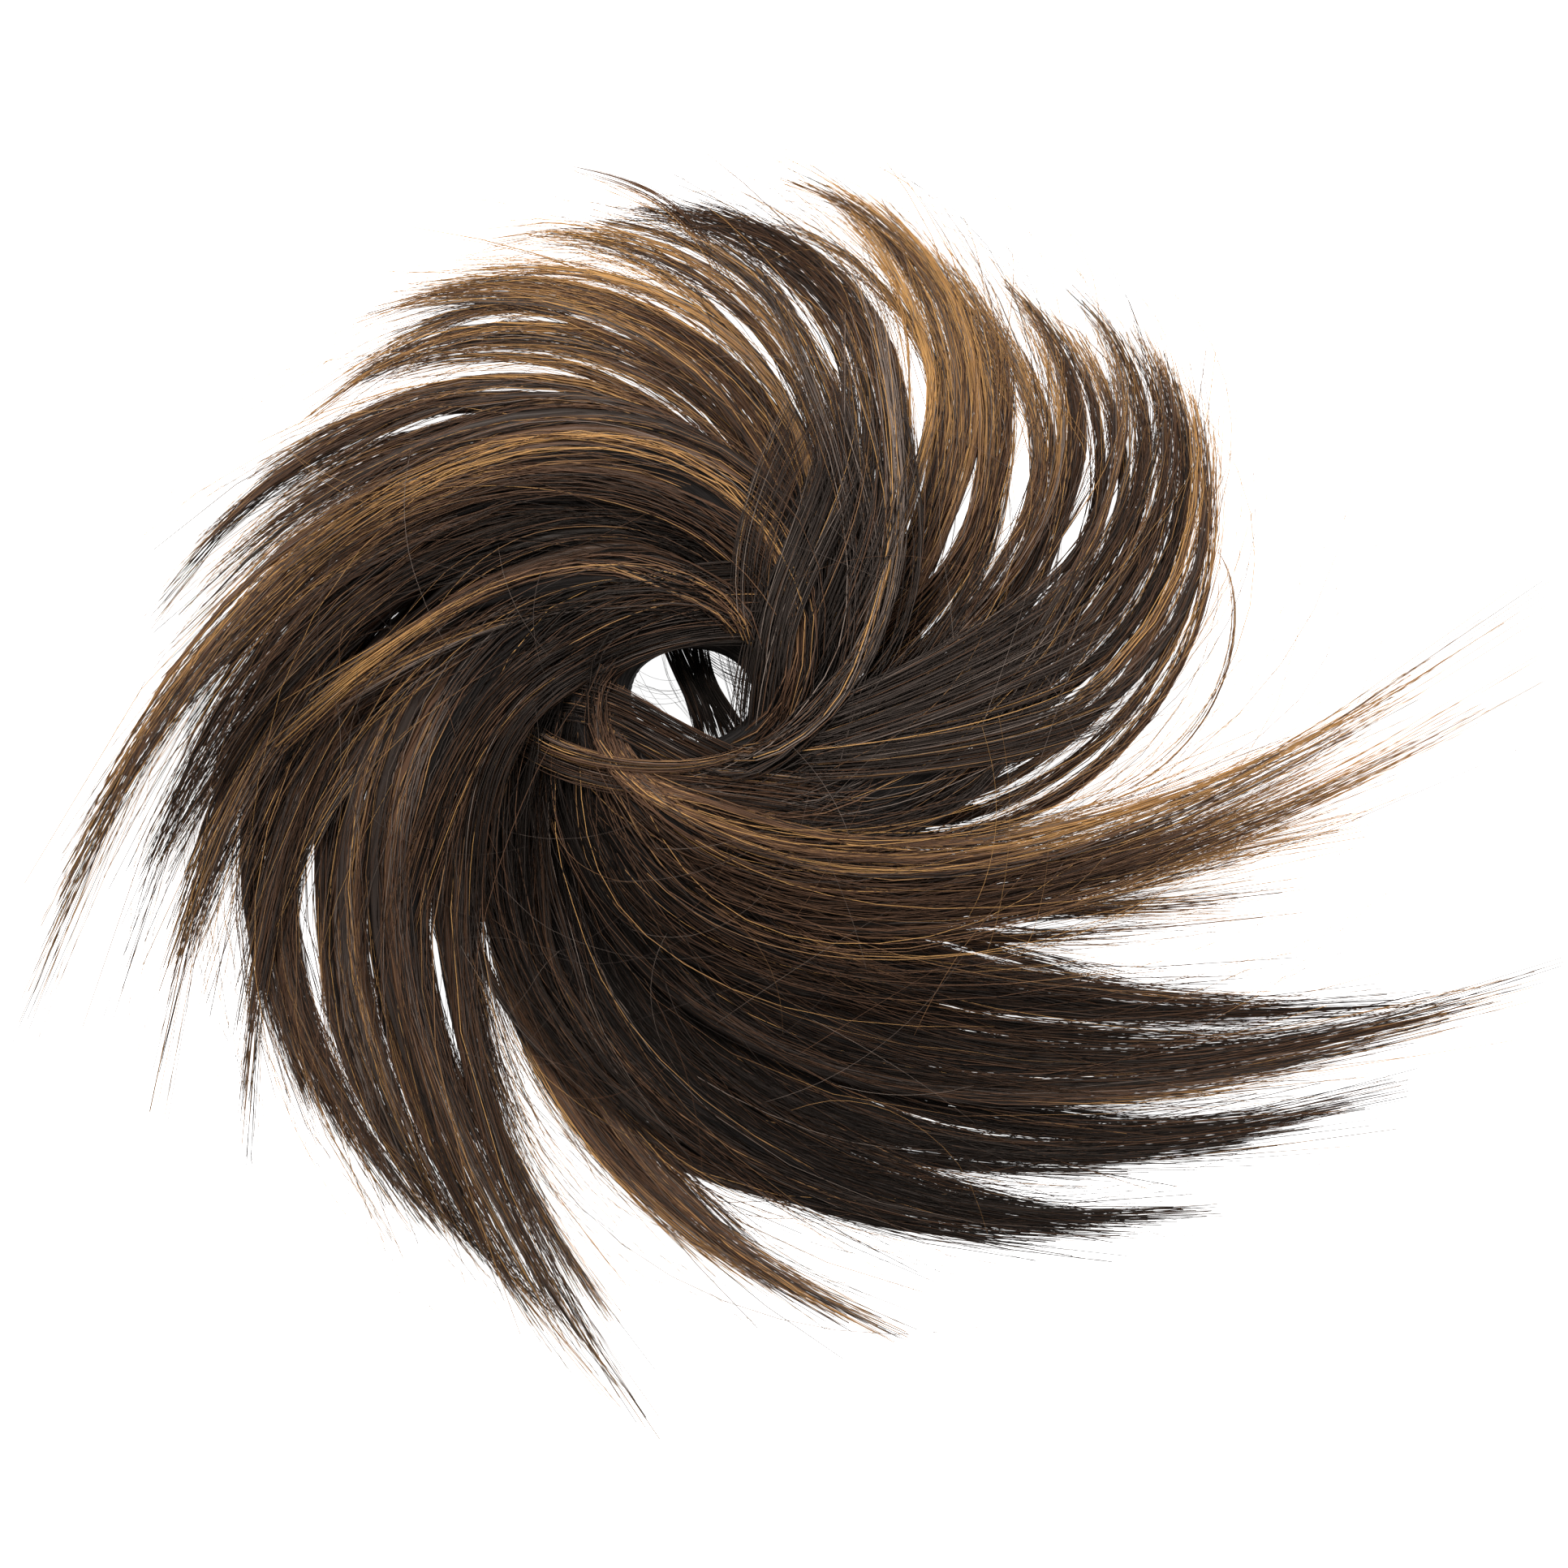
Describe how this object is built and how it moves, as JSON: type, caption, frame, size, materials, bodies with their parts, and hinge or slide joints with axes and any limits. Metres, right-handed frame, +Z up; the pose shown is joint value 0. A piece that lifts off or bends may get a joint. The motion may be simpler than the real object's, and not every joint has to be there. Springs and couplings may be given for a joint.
{
  "type": "top knot hairpiece",
  "caption": "Swirl of swept false hair locks, stitched in tiers round an elastic loop that goes over a bun or ponytail as a top knot.",
  "frame": {"origin": "centre of the bounding box, on the surface that the piece lies on", "axes": "+X to the right along the longest extent, +Y away from the viewer who looks down with the picture's top edge up, +Z up through the loop"},
  "size_m": [0.2494, 0.2074, 0.0238],
  "materials": {
    "elastic": "woven elastic",
    "hair_lower": "hair fibre, satin",
    "hair_middle": "hair fibre, satin",
    "hair_upper": "hair fibre, satin"
  },
  "bodies": {
    "root": {"elastic_band": "elastic", "hair_lower": "hair_lower", "hair_middle": "hair_middle", "hair_upper": "hair_upper"}
  },
  "joints": []
}
